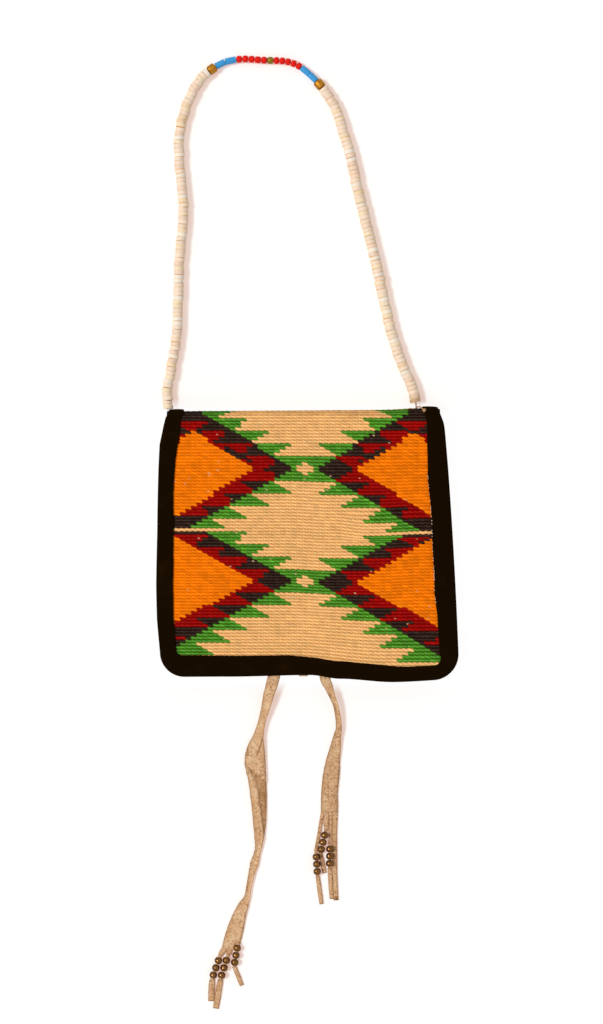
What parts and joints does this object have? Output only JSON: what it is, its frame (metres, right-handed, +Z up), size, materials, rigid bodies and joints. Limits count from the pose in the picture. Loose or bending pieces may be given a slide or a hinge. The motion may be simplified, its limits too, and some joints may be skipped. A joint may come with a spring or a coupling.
{
  "type": "twined corn husk handbag",
  "caption": "Flat twined handbag with a stepped geometric flap, velvet bindings, a shell disc shoulder strap with glass beads, and a two-ended hide tie with metal beads.",
  "frame": {"origin": "On the table under the middle of the closed bag, without its strap and tie.", "axes": "+Z is up from the table, away from the bag's back. +X is to the right as the flap is seen, and +Y is towards the strap."},
  "size_m": [0.2246, 0.7163, 0.0156],
  "materials": {
    "twined_husk": "twined husk and wool in rows of ridges",
    "velvet": "dark brown velvet pile",
    "shell": "rubbed smooth, cream to pink",
    "cord": "twisted sinew",
    "brass": "aged",
    "olive_brass": "aged, greenish",
    "blue_glass": "opaque, glossy",
    "red_glass": "opaque, glossy",
    "hide": "tanned hide, matte, speckled",
    "dark_bronze": "dark, polished"
  },
  "bodies": {
    "root": {"woven_panel": "twined_husk", "pocket_front": "twined_husk", "flap_binding": "velvet", "pouch_binding": "velvet", "strap_shells_left": "shell", "strap_shells_right": "shell", "strap_cord": "cord", "strap_cord_end_left": "cord", "strap_cord_end_right": "cord", "strap_knot": "cord", "brass_bead_left": "brass", "brass_bead_right": "brass", "centre_bead": "olive_brass", "blue_bead_1": "blue_glass", "blue_bead_2": "blue_glass", "blue_bead_3": "blue_glass", "blue_bead_4": "blue_glass", "red_bead_1": "red_glass", "red_bead_2": "red_glass", "red_bead_3": "red_glass", "red_bead_4": "red_glass", "red_bead_5": "red_glass", "red_bead_6": "red_glass", "red_bead_7": "red_glass", "red_bead_8": "red_glass", "red_bead_9": "red_glass", "red_bead_10": "red_glass", "tie_thong_long": "hide", "tie_thong_short": "hide", "tie_tab": "hide", "long_bead_1_1": "dark_bronze", "long_bead_1_2": "dark_bronze", "long_bead_1_3": "dark_bronze", "long_bead_2_1": "dark_bronze", "long_bead_2_2": "dark_bronze", "long_bead_2_3": "dark_bronze", "long_bead_3_1": "dark_bronze", "long_bead_3_2": "dark_bronze", "long_bead_3_3": "dark_bronze", "short_bead_1_1": "dark_bronze", "short_bead_1_2": "dark_bronze", "short_bead_1_3": "dark_bronze", "short_bead_2_1": "dark_bronze", "short_bead_2_2": "dark_bronze", "short_bead_2_3": "dark_bronze", "short_bead_3_1": "dark_bronze", "short_bead_3_2": "dark_bronze", "short_bead_3_3": "dark_bronze"}
  },
  "joints": []
}
